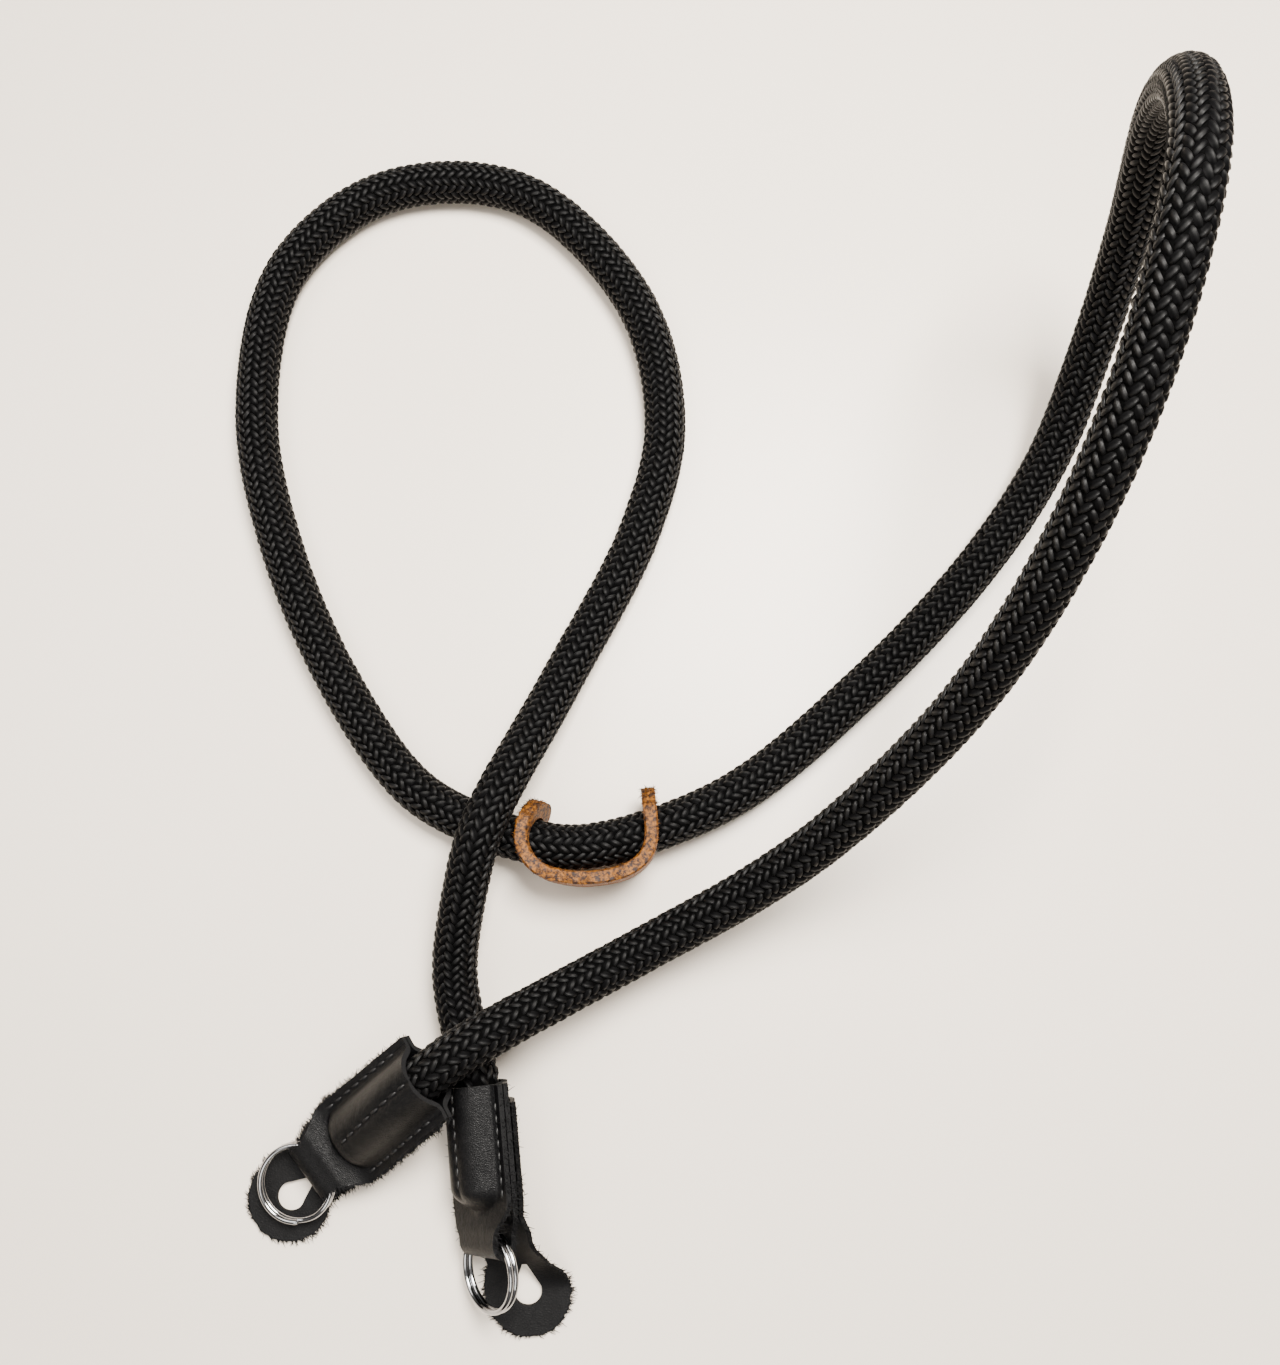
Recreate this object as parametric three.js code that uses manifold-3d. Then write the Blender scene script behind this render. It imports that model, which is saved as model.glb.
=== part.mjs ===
// Camera neck strap lying on a table: a braided rope, two leather end tabs,
// two split rings, two leather lug guards and a sliding leather keeper.
// Millimetres, +Z up, the table is z = 0.
import * as THREE from 'three';
import { mergeVertices } from 'three/addons/utils/BufferGeometryUtils.js';
import Module from 'manifold-3d';

const wasm = await Module();
wasm.setup();

// Driving sizes
const ROPE_RADIUS = 5;
const ROPE_SIDES = 12;
const ROPE_STEPS = 80;
const LEATHER = 1.2;
const GAP = 0.3;
const TAB_LENGTH = 35;
const TAB_HALF_WIDTH = 9.6;
const FOLD_RADIUS = 1.8;
const ROPE_END = 15;
const POCKET_TIP = 9.2;
const POCKET_FULL = 14.6;
const RING_RADIUS = 8.5;
const WIRE_RADIUS = 0.575;
const WIRE_SIDES = 8;
const COIL_RISE = 0.62;
const RING_AHEAD = 2.6;
const GUARD_END_RADIUS = 9.1;
const GUARD_HOLE_RADIUS = 3;
const GUARD_SLIT = 6;
const GUARD_SLIT_HALF = 0.5;
const GUARD_NECK = 7;
const KEEPER_THICK = 3;
const KEEPER_LEAN = 17;
const KEEPER_LEAN_RUN = 14;
const KEEPER_HALF_HEIGHT = 7.6;
const KEEPER_FOOT = 0.35;
const KEEPER_HOLE_RADIUS = 5.6;

// Rows of a table with its columns named
function table(columns, rows) {
  return rows.map((row) => Object.fromEntries(columns.map((column, i) => [column, row[i]])));
}

// Smooth value of one column of a table at a place along it, straight past its ends
function smooth(rows, column, along) {
  const last = rows.length - 1;
  const slope = (i) => {
    const low = rows[Math.max(0, i - 1)];
    const high = rows[Math.min(last, i + 1)];
    return (high[column] - low[column]) / (high.along - low.along);
  };
  if (along <= rows[0].along) return rows[0][column] + slope(0) * (along - rows[0].along);
  if (along >= rows[last].along) return rows[last][column] + slope(last) * (along - rows[last].along);
  const i = rows.findIndex((row) => row.along > along) - 1;
  const span = rows[i + 1].along - rows[i].along;
  const t = (along - rows[i].along) / span;
  const rise = rows[i + 1][column] - rows[i][column];
  const bow = t * (1 - t) * ((1 - t) * (slope(i) * span - rise) - t * (slope(i + 1) * span - rise));
  return rows[i][column] + rise * t + bow;
}

// End tabs: where each fold lies in plan, which way the tab runs from it, and its lie above the table
const LIE = ['along', 'height', 'roll'];
const END_LEFT = {
  fold: [-77.5, -103],
  heading: 38.6,
  lie: table(LIE, [
    [0, 5.1, 0],
    [7, 6.1, 0],
    [14, 8.2, 3],
    [21, 12.1, 8],
    [28, 15.9, 12],
    [35, 19, 14],
  ]),
};
const END_RIGHT = {
  fold: [-37.5, -118.5],
  heading: 96,
  lie: table(LIE, [
    [0, 9.4, 47],
    [18, 9.4, 47],
    [35, 9.4, 47],
  ]),
};

// Tab leather: half width, half of the opening between its two halves, and share of the rope's bulge
const TAB_ROWS = table(['along', 'half', 'part', 'bulge'], [
  [3, 5.8, 1.8, 0],
  [4.6, 6.0, 1.8, 0],
  [6.4, 6.8, 1.75, 0],
  [8.2, 8.0, 1.0, 0],
  [9.8, 9.1, 0.4, 0.12],
  [11.2, 9.5, 0.15, 0.55],
  [12.8, TAB_HALF_WIDTH, 0.15, 0.88],
  [14.6, TAB_HALF_WIDTH, 0.15, 1],
  [TAB_LENGTH, TAB_HALF_WIDTH, 0.15, 1],
]);

// Half section of the bulge over the rope: place across the tab and share of the height
const BULGE = table(['across', 'rise'], [
  [0, 1],
  [1.8, 0.945],
  [3.4, 0.79],
  [4.6, 0.56],
  [5.5, 0.28],
  [6.4, 0.08],
  [7.6, 0],
  [TAB_HALF_WIDTH, 0],
]);
const BULGE_CURVE = BULGE.map((row) => ({ along: row.across, rise: row.rise }));
const SECTION = [...BULGE.slice(1).reverse().map((row) => ({ across: -row.across, rise: row.rise })), ...BULGE];

// Lug guards past the tab: place along, shift sideways, height of the underside, and roll
const GUARD_COLUMNS = ['along', 'side', 'height', 'roll'];
const GUARD_LEFT = {
  hole: -6.3,
  lie: table(GUARD_COLUMNS, [
    [-15.4, 1.4, 0, 0],
    [-6.3, 1.4, 0, 0],
    [-3, 1, 0, 0],
    [0.5, 0.4, 0.1, 0],
    [4.5, 0, 0.4, 0.5],
  ]),
};
const GUARD_RIGHT = {
  hole: -9.3,
  lie: table(GUARD_COLUMNS, [
    [-18.4, 7, 0, 0],
    [-9.3, 6.6, 0, 0],
    [-6, 6.2, 1.1, 7],
    [-2.5, 5.2, 2.9, 23],
    [1, 4, 4.7, 39],
    [4.5, 3.8, 5.9, 46],
  ]),
};

// Rope route between the two tabs
const ROPE_ROUTE = table(['x', 'y', 'z'], [
  [-41.5, -75, 20.2],
  [-7, -56.5, 13.4],
  [18.5, -42.5, 20.5],
  [34, -31.5, 31.5],
  [54.5, -10.5, 57],
  [66, 9.5, 79],
  [75, 36, 101],
  [81.5, 66, 112.5],
  [87, 88, 102],
  [93, 101, 77],
  [98, 93.5, 44],
  [96.5, 78.5, 24],
  [89.5, 57, 10],
  [73.5, 33, 5.7],
  [45.5, 3.5, 5.1],
  [14, -22, 6],
  [-17, -33, 8.4],
  [-30.5, -32, 7.6],
  [-43, -28, 5.6],
  [-57.5, -19.5, 5.2],
  [-74.5, 3.5, 5.1],
  [-90, 36.5, 5.1],
  [-98, 71, 5.1],
  [-92.5, 107.5, 5.1],
  [-69.5, 128.5, 5.1],
  [-36, 128.5, 5.1],
  [-8, 100.5, 5.1],
  [0, 68.5, 5.1],
  [-6, 41, 5.2],
  [-24.5, 3.5, 7.4],
  [-40, -29, 16.6],
  [-44, -43, 13],
  [-46.5, -60.5, 7.4],
  [-43.8, -74, 7.6],
]);

// Keeper: middle line of the strip in plan, from the left tip to the right tip
const KEEPER_PATH = table(['x', 'y'], [
  [-30.2, -22.6],
  [-32, -30],
  [-31.4, -35],
  [-28.8, -38.8],
  [-24.5, -40.8],
  [-18, -41.6],
  [-11, -40.6],
  [-6.8, -38.4],
  [-4.3, -35],
  [-3.5, -30],
  [-4.3, -20.2],
]);

// Point of a tab's own space: along it from the fold, across it, and out from its middle plane
function tabPoint(end, along, across, out) {
  const step = 0.05;
  const height = smooth(end.lie, 'height', along);
  const climb = (smooth(end.lie, 'height', along + step) - smooth(end.lie, 'height', along - step)) / (2 * step);
  const heading = THREE.MathUtils.degToRad(end.heading);
  const roll = THREE.MathUtils.degToRad(smooth(end.lie, 'roll', along));
  const forward = new THREE.Vector3(Math.cos(heading), Math.sin(heading), climb).normalize();
  const right = new THREE.Vector3(Math.sin(heading), -Math.cos(heading), 0);
  const up = new THREE.Vector3().crossVectors(right, forward);
  const v = right.clone().multiplyScalar(Math.cos(roll)).addScaledVector(up, Math.sin(roll));
  const w = up.clone().multiplyScalar(Math.cos(roll)).addScaledVector(right, -Math.sin(roll));
  const x = end.fold[0] + Math.cos(heading) * along;
  const y = end.fold[1] + Math.sin(heading) * along;
  return new THREE.Vector3(x, y, height).addScaledVector(v, across).addScaledVector(w, out);
}

// Closed solid between two equal grids of points
function sheet(outer, inner) {
  const rows = outer.length;
  const columns = outer[0].length;
  const corner = (side, row, column) => (side * rows + row) * columns + column;
  let index = [];
  const quad = (a, b, c, d) => index.push(a, b, c, a, c, d);
  for (let r = 0; r < rows - 1; r += 1) {
    for (let c = 0; c < columns - 1; c += 1) {
      quad(corner(0, r, c), corner(0, r, c + 1), corner(0, r + 1, c + 1), corner(0, r + 1, c));
      quad(corner(1, r, c), corner(1, r + 1, c), corner(1, r + 1, c + 1), corner(1, r, c + 1));
    }
    const end = columns - 1;
    quad(corner(0, r, 0), corner(0, r + 1, 0), corner(1, r + 1, 0), corner(1, r, 0));
    quad(corner(0, r, end), corner(1, r, end), corner(1, r + 1, end), corner(0, r + 1, end));
  }
  for (let c = 0; c < columns - 1; c += 1) {
    const end = rows - 1;
    quad(corner(0, 0, c), corner(1, 0, c), corner(1, 0, c + 1), corner(0, 0, c + 1));
    quad(corner(0, end, c), corner(0, end, c + 1), corner(1, end, c + 1), corner(1, end, c));
  }
  const points = [...outer.flat(), ...inner.flat()];
  let volume = 0;
  for (let i = 0; i < index.length; i += 3) {
    const [a, b, c] = [points[index[i]], points[index[i + 1]], points[index[i + 2]]];
    volume += new THREE.Vector3().crossVectors(b, c).dot(a);
  }
  if (volume < 0) index = index.reverse();
  const geometry = new THREE.BufferGeometry().setFromPoints(points);
  geometry.setIndex(index);
  return geometry;
}

// Cut one geometry out of another
function solid(geometry) {
  const bare = geometry.clone();
  bare.deleteAttribute('normal');
  bare.deleteAttribute('uv');
  const merged = mergeVertices(bare, 1e-4);
  const mesh = new wasm.Mesh({
    numProp: 3,
    vertProperties: new Float32Array(merged.attributes.position.array),
    triVerts: new Uint32Array(merged.index.array),
  });
  return new wasm.Manifold(mesh);
}

function cut(geometry, tools) {
  let body = solid(geometry);
  for (const tool of tools) body = body.subtract(solid(tool));
  const mesh = body.getMesh();
  const result = new THREE.BufferGeometry();
  result.setAttribute('position', new THREE.BufferAttribute(new Float32Array(mesh.vertProperties), 3));
  result.setIndex(new THREE.BufferAttribute(new Uint32Array(mesh.triVerts), 1));
  return result;
}

// Bar of a many-sided section along a curve
function bar(curve, radius, sides, steps) {
  const corners = [];
  for (let i = 0; i < sides; i += 1) {
    const angle = (2 * Math.PI * (i + 0.5)) / sides;
    corners.push(new THREE.Vector2(radius * Math.cos(angle), radius * Math.sin(angle)));
  }
  const shape = new THREE.Shape(corners);
  return new THREE.ExtrudeGeometry(shape, { steps, extrudePath: curve, bevelEnabled: false });
}

// Section of a leather layer at one place along a tab, pushed out from the rope side by an offset
function layerSection(along, offset) {
  const half = smooth(TAB_ROWS, 'half', along);
  const part = Math.max(0.15, smooth(TAB_ROWS, 'part', along));
  const bulge = Math.min(1, Math.max(0, smooth(TAB_ROWS, 'bulge', along)));
  const height = ROPE_RADIUS + 2 * GAP - part;
  const short = Math.min(1, Math.max(0, (POCKET_FULL - along) / (POCKET_FULL - POCKET_TIP)));
  const width = Math.sqrt(Math.max(0.04, 1 - short * short));
  const base = SECTION.map((row) => ({
    across: (row.across * half) / TAB_HALF_WIDTH,
    out: part + Math.max(0, smooth(BULGE_CURVE, 'rise', Math.abs(row.across) / width)) * bulge * height,
  }));
  return base.map((point, i) => {
    const low = base[Math.max(0, i - 1)];
    const high = base[Math.min(base.length - 1, i + 1)];
    const run = high.across - low.across;
    const climb = high.out - low.out;
    const length = Math.hypot(run, climb);
    const edge = i === 0 || i === base.length - 1;
    return {
      across: edge ? point.across : point.across - (climb / length) * offset,
      out: edge ? point.out + offset : point.out + (run / length) * offset,
    };
  });
}

// Tab: one strip of leather folded in two through the ring and over the rope's end
function tabGeometry(end) {
  const fold = TAB_ROWS[0].along;
  const stations = [TAB_LENGTH, 31, 26, 21, 17.5, 14.6, 13.4, 12.3, 11.2, 10, 8.6, 7.2, 5.6, 4.2, fold];
  const bends = [60, 30, 0, -30, -60];
  const face = (offset) => {
    const half = (along, side) =>
      layerSection(along, offset).map((p) => tabPoint(end, along, p.across, side * p.out));
    const bend = (degrees) => {
      const angle = THREE.MathUtils.degToRad(degrees);
      const radius = FOLD_RADIUS + offset;
      const along = fold - radius * Math.cos(angle);
      return layerSection(fold, 0).map((p) => tabPoint(end, along, p.across, radius * Math.sin(angle)));
    };
    const upper = stations.map((along) => half(along, 1));
    const lower = [...stations].reverse().map((along) => half(along, -1));
    return [...upper, ...bends.map(bend), ...lower];
  };
  return sheet(face(LEATHER), face(0));
}

// Split ring: two flat turns of wire joined by a step, both ends next to the step
class SplitCoil extends THREE.Curve {
  constructor(radius, rise, step) {
    super();
    this.radius = radius;
    this.rise = rise;
    this.step = step;
  }

  getPoint(t, target = new THREE.Vector3()) {
    const degrees = this.step + t * (720 - 2 * this.step);
    const swing = THREE.MathUtils.clamp((degrees - 360) / this.step, -1, 1);
    const angle = THREE.MathUtils.degToRad(degrees);
    const z = this.rise * Math.sin((swing * Math.PI) / 2);
    return target.set(this.radius * Math.cos(angle), this.radius * Math.sin(angle), z);
  }
}

function ringGeometry(end, turn) {
  const coil = new SplitCoil(RING_RADIUS - WIRE_RADIUS, COIL_RISE, 24);
  const geometry = bar(coil, WIRE_RADIUS, WIRE_SIDES, 54);
  const centre = tabPoint(end, -RING_AHEAD, 0, 0);
  const along = tabPoint(end, -RING_AHEAD + 1, 0, 0).sub(centre).normalize();
  const across = tabPoint(end, -RING_AHEAD, 1, 0).sub(centre);
  const axis = new THREE.Vector3().crossVectors(across, along).normalize();
  const place = new THREE.Matrix4().makeBasis(across, along, axis).setPosition(centre);
  geometry.rotateZ(THREE.MathUtils.degToRad(turn));
  geometry.applyMatrix4(place);
  return geometry;
}

// Lug guard: a third layer under the tab that runs on past the ring to a round end with a hole
const GUARD_ACROSS = [-1, -0.87, -0.72, -0.54, -0.28, 0, 0.28, 0.54, 0.72, 0.87, 1];

function guardUnder(end, along, offset) {
  const half = smooth(TAB_ROWS, 'half', along);
  const part = Math.max(0.15, smooth(TAB_ROWS, 'part', along));
  const bulge = THREE.MathUtils.clamp(smooth(TAB_ROWS, 'bulge', along + 1), 0, 1);
  const depth = bulge * (ROPE_RADIUS + 1.5 * GAP);
  return GUARD_ACROSS.map((share) => {
    const sag = depth * Math.max(0, 1 - share * share) ** 1.6;
    return tabPoint(end, along, share * half, -(part + LEATHER + 1.5 * GAP + offset + sag));
  });
}

function guardFree(end, lie, along, half, offset) {
  const heading = THREE.MathUtils.degToRad(end.heading);
  const roll = THREE.MathUtils.degToRad(Math.max(0, smooth(lie, 'roll', along)));
  const side = smooth(lie, 'side', along);
  const lift = Math.max(smooth(lie, 'height', along), half * Math.sin(roll));
  const right = new THREE.Vector3(Math.sin(heading), -Math.cos(heading), 0);
  const up = new THREE.Vector3(0, 0, 1);
  const across = right.clone().multiplyScalar(Math.cos(roll)).addScaledVector(up, Math.sin(roll));
  const out = up.clone().multiplyScalar(Math.cos(roll)).addScaledVector(right, -Math.sin(roll));
  const middle = new THREE.Vector3(
    end.fold[0] + Math.cos(heading) * along,
    end.fold[1] + Math.sin(heading) * along,
    lift,
  );
  middle.addScaledVector(right, side).addScaledVector(out, LEATHER - offset);
  return GUARD_ACROSS.map((share) => middle.clone().addScaledVector(across, share * half));
}

// Outline of the drop-shaped hole in a guard
function holeShape() {
  const side = Math.acos(GUARD_HOLE_RADIUS / GUARD_SLIT) * 0.9;
  const points = [];
  for (let i = 0; i <= 18; i += 1) {
    const turn = THREE.MathUtils.lerp(side, 2 * Math.PI - side, i / 18);
    points.push(new THREE.Vector2(GUARD_HOLE_RADIUS * Math.cos(turn), GUARD_HOLE_RADIUS * Math.sin(turn)));
  }
  points.push(new THREE.Vector2(GUARD_SLIT, -GUARD_SLIT_HALF));
  points.push(new THREE.Vector2(GUARD_SLIT, GUARD_SLIT_HALF));
  return new THREE.Shape(points);
}

function guardGeometry(end, guard) {
  const neck = Math.asin(GUARD_NECK / GUARD_END_RADIUS);
  const start = guard.hole + GUARD_END_RADIUS * Math.cos(neck);
  const outline = [
    { along: 4.5, half: 8 },
    { along: (4.5 + start) / 2, half: GUARD_NECK + 0.2 },
  ];
  for (let i = 0; i <= 8; i += 1) {
    const angle = THREE.MathUtils.lerp(neck, Math.PI - 0.1, Math.sin((i / 8) * (Math.PI / 2)));
    outline.push({
      along: guard.hole + GUARD_END_RADIUS * Math.cos(angle),
      half: GUARD_END_RADIUS * Math.sin(angle),
    });
  }
  const face = (offset) => [
    ...[TAB_LENGTH - 4, 28, 23, 18, 15, 13, 11.5, 10, 8].map((along) => guardUnder(end, along, offset)),
    ...outline.map((row) => guardFree(end, guard.lie, row.along, row.half, offset)),
  ];
  const middle = guardFree(end, guard.lie, guard.hole, 0, 0)[0];
  const punch = new THREE.ExtrudeGeometry(holeShape(), { depth: 8, bevelEnabled: false });
  punch.translate(0, 0, -4);
  punch.rotateZ(THREE.MathUtils.degToRad(end.heading));
  punch.translate(middle.x, middle.y, middle.z);
  return cut(sheet(face(LEATHER), face(0)), [punch]);
}

// Rope: one tube from inside the left tab to inside the right tab
function ropeCurve(rows) {
  return new THREE.CatmullRomCurve3(rows, false, 'centripetal');
}

const ROUTE_POINTS = ROPE_ROUTE.map((row) => new THREE.Vector3(row.x, row.y, row.z));
const HELD = [ROPE_END, 25, TAB_LENGTH + 2];
const LEFT_POINTS = HELD.map((along) => tabPoint(END_LEFT, along, 0, 0));
const RIGHT_POINTS = HELD.map((along) => tabPoint(END_RIGHT, along, 0, 0)).reverse();
const ROPE_POINTS = [...LEFT_POINTS, ...ROUTE_POINTS, ...RIGHT_POINTS];

// Keeper: a thick strip on edge, bent into a U, with the rope through both of its arms
function keeperGeometry() {
  const path = ropeCurve(KEEPER_PATH.map((row) => new THREE.Vector3(row.x, row.y, 0)));
  const steps = 40;
  const length = path.getLength();
  const face = (side) => {
    const rows = [];
    for (let i = 0; i <= steps; i += 1) {
      const share = THREE.MathUtils.lerp(0.004, 0.996, i / steps);
      const point = path.getPointAt(share);
      const tangent = path.getTangentAt(share);
      const tip = Math.min(share, 1 - share) * length;
      const short = Math.max(0, 1 - tip / KEEPER_HALF_HEIGHT);
      const half = KEEPER_HALF_HEIGHT * Math.sqrt(1 - short * short);
      const outward = new THREE.Vector3(tangent.y, -tangent.x, 0);
      const reach = Math.max(0, 1 - (share * length) / KEEPER_LEAN_RUN);
      const slope = Math.tan(THREE.MathUtils.degToRad(KEEPER_LEAN * reach));
      rows.push([-1, 0, 1].map((level) => {
        const z = KEEPER_FOOT + KEEPER_HALF_HEIGHT + level * half;
        const drop = KEEPER_FOOT + 2 * KEEPER_HALF_HEIGHT - z;
        const shift = (side * KEEPER_THICK) / 2 - slope * drop;
        return new THREE.Vector3(point.x + outward.x * shift, point.y + outward.y * shift, z);
      }));
    }
    return rows;
  };
  const bore = bar(ropeCurve(ROUTE_POINTS.slice(13, 21)), KEEPER_HOLE_RADIUS, 16, 24);
  return cut(sheet(face(1), face(-1)), [bore]);
}

// Scene
const BLACK_ROPE = { color: 0x161618, roughness: 0.75, metalness: 0 };
const BLACK_LEATHER = { color: 0x1b1b1e, roughness: 0.5, metalness: 0 };
const CHROME = { color: 0xc9ccd0, roughness: 0.15, metalness: 1 };
const TAN_LEATHER = { color: 0xa8611f, roughness: 0.65, metalness: 0 };

const strap = new THREE.Group();
strap.name = 'camera_neck_strap';

function add(name, geometry, look) {
  const mesh = new THREE.Mesh(geometry, new THREE.MeshStandardMaterial(look));
  mesh.name = name;
  strap.add(mesh);
}

add('rope', bar(ropeCurve(ROPE_POINTS), ROPE_RADIUS, ROPE_SIDES, ROPE_STEPS), BLACK_ROPE);
add('tab_left', tabGeometry(END_LEFT), BLACK_LEATHER);
add('tab_right', tabGeometry(END_RIGHT), BLACK_LEATHER);
add('ring_left', ringGeometry(END_LEFT, 350), CHROME);
add('ring_right', ringGeometry(END_RIGHT, 90), CHROME);
add('guard_left', guardGeometry(END_LEFT, GUARD_LEFT), BLACK_LEATHER);
add('guard_right', guardGeometry(END_RIGHT, GUARD_RIGHT), BLACK_LEATHER);
add('keeper', keeperGeometry(), TAN_LEATHER);

export default strap;
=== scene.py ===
"""Camera neck strap lying on a pale table: braided rope, leather tabs, split rings, guards, keeper."""
import logging
import math
from dataclasses import dataclass, field
from enum import Enum
from typing import Callable, Sequence

import bmesh
import bpy
import numpy as np
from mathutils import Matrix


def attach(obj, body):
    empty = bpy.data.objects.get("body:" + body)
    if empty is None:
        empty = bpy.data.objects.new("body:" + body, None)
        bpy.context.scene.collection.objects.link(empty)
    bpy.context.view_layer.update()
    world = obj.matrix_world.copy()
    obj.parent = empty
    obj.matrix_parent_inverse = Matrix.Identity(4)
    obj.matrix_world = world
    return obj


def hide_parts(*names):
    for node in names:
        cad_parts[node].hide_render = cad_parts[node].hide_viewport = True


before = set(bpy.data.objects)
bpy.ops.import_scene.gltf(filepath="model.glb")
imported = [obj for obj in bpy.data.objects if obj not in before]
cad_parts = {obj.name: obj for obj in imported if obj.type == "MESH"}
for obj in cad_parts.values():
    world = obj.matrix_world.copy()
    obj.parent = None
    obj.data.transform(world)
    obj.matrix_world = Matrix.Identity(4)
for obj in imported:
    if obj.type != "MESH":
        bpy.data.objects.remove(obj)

LOG = logging.getLogger("strap")
MM = 0.001
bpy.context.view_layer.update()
Row = tuple[float, ...]
Colour = tuple[float, ...]
Face = tuple[int, ...]
Points = np.ndarray
Piece = bpy.types.Object
Finish = bpy.types.Material
Node = bpy.types.Node
Socket = bpy.types.NodeSocket
Tree = bpy.types.NodeTree

# Sockets of a mix node, which share their names: for colours, then for vectors
MIX_SHARE, MIX_LOW, MIX_HIGH, MIX_COLOUR = 0, 6, 7, 2
VECTOR_LOW, VECTOR_HIGH, VECTOR_MIX = 4, 5, 1


class Slot(str, Enum):
    """Material slots of the record."""

    ROPE = "rope"
    BLACK_LEATHER = "black_leather"
    RING = "ring"
    TAN_LEATHER = "tan_leather"


class Body(str, Enum):
    """Bodies that the pieces ride on."""

    STRAP = "strap"
    RING_LEFT = "ring_left"
    RING_RIGHT = "ring_right"


class Lay(int, Enum):
    """Which way a strand of the braid winds round the rope."""

    RIGHT = 1
    LEFT = -1


def clamp(value: float, low: float = 0.0, high: float = 1.0) -> float:
    """Keep a value between two limits.

    Args:
        value: The value.
        low: Lower limit.
        high: Upper limit.

    Returns:
        The value, or the limit that it passes.
    """
    return min(high, max(low, value))


def smooth(rows: Sequence[Row], column: int, along: float) -> float:
    """Smooth value of a table's column, straight past its ends.

    Args:
        rows: The table, with the place along it in its first column.
        column: The column that is read.
        along: The place.

    Returns:
        The value there.
    """
    last = len(rows) - 1

    def slope(i: int) -> float:
        """Slope of the column at one row.

        Args:
            i: Number of the row.

        Returns:
            The slope.
        """
        low, high = rows[max(0, i - 1)], rows[min(last, i + 1)]
        return (high[column] - low[column]) / (high[0] - low[0])

    if along <= rows[0][0]:
        return rows[0][column] + slope(0) * (along - rows[0][0])
    if along >= rows[last][0]:
        return rows[last][column] + slope(last) * (along - rows[last][0])
    i = next(k for k, row in enumerate(rows) if row[0] > along) - 1
    span = rows[i + 1][0] - rows[i][0]
    t = (along - rows[i][0]) / span
    rise = rows[i + 1][column] - rows[i][column]
    bow = t * (1 - t) * ((1 - t) * (slope(i) * span - rise) - t * (slope(i + 1) * span - rise))
    return rows[i][column] + rise * t + bow


def make_object(name: str, points: Points, faces: Sequence[Sequence[int]],
                smooth_angle: float = 40.0) -> Piece:
    """Mesh object from points in millimetres.

    Args:
        name: Name of the piece.
        points: Vertices, in millimetres.
        faces: Vertex numbers of each face.
        smooth_angle: Edges sharper than this many degrees stay sharp.

    Returns:
        The linked object, with its normals outward.
    """
    mesh = bpy.data.meshes.new(name)
    mesh.from_pydata((np.asarray(points) * MM).tolist(), [], [list(f) for f in faces])
    work = bmesh.new()
    work.from_mesh(mesh)
    bmesh.ops.recalc_face_normals(work, faces=work.faces)
    work.to_mesh(mesh)
    work.free()
    mesh.shade_smooth()
    mesh.set_sharp_from_angle(angle=math.radians(smooth_angle))
    piece = bpy.data.objects.new(name, mesh)
    bpy.context.scene.collection.objects.link(piece)
    return piece


def mark(piece: Piece, name: str, values: Points, domain: str = "POINT") -> None:
    """Store one number for each point or face, for the materials to read.

    Args:
        piece: The object.
        name: Name of the attribute.
        values: One number for each point or face.
        domain: POINT or FACE.
    """
    layer = piece.data.attributes.new(name, "FLOAT", domain)
    layer.data.foreach_set("value", np.ascontiguousarray(values, dtype=np.float32))


def settle(piece: Piece, body: Body, material: Finish,
           nodes: Sequence[str] = ()) -> Piece:
    """Hand a finished piece to the frame.

    Args:
        piece: The object.
        body: The body that it rides on.
        material: Its finish.
        nodes: CAD nodes that it stands for.

    Returns:
        The same object.
    """
    piece.data.materials.clear()
    piece.data.materials.append(material)
    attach(piece, body.value)
    if nodes:
        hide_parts(*nodes)
    LOG.info("%s: %d faces", piece.name, len(piece.data.polygons))
    return piece


def grid_faces(rows: int, columns: int, start: int = 0, closed: bool = False) -> list[Face]:
    """Quads of a grid of points.

    Args:
        rows: Number of rows.
        columns: Number of points in a row.
        start: Number of the first point.
        closed: Whether each row closes on itself.

    Returns:
        The quads.
    """
    quads = []
    for r in range(rows - 1):
        for c in range(columns if closed else columns - 1):
            d = (c + 1) % columns
            a, b = start + r * columns, start + (r + 1) * columns
            quads.append((a + c, a + d, b + d, b + c))
    return quads


def sheet(outer: Points, inner: Points) -> tuple[Points, list[Face], list[float]]:
    """Closed solid between two equal grids of points.

    Args:
        outer: Grid of points of the outer face.
        inner: Grid of points of the inner face.

    Returns:
        Points, quads, and 1 for each quad on the cut edge or 0 elsewhere.
    """
    rows, columns = outer.shape[:2]
    count = rows * columns
    points = np.concatenate([outer.reshape(-1, 3), inner.reshape(-1, 3)])
    faces = grid_faces(rows, columns) + [f[::-1] for f in grid_faces(rows, columns, count)]
    edge = [0.0] * len(faces)
    loop = list(range(columns)) + [r * columns + columns - 1 for r in range(1, rows)]
    loop += [(rows - 1) * columns + c for c in range(columns - 2, -1, -1)]
    loop += [r * columns for r in range(rows - 2, 0, -1)]
    for a, b in zip(loop, loop[1:] + loop[:1]):
        faces.append((a, b, b + count, a + count))
        edge.append(1.0)
    return points, faces, edge


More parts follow.
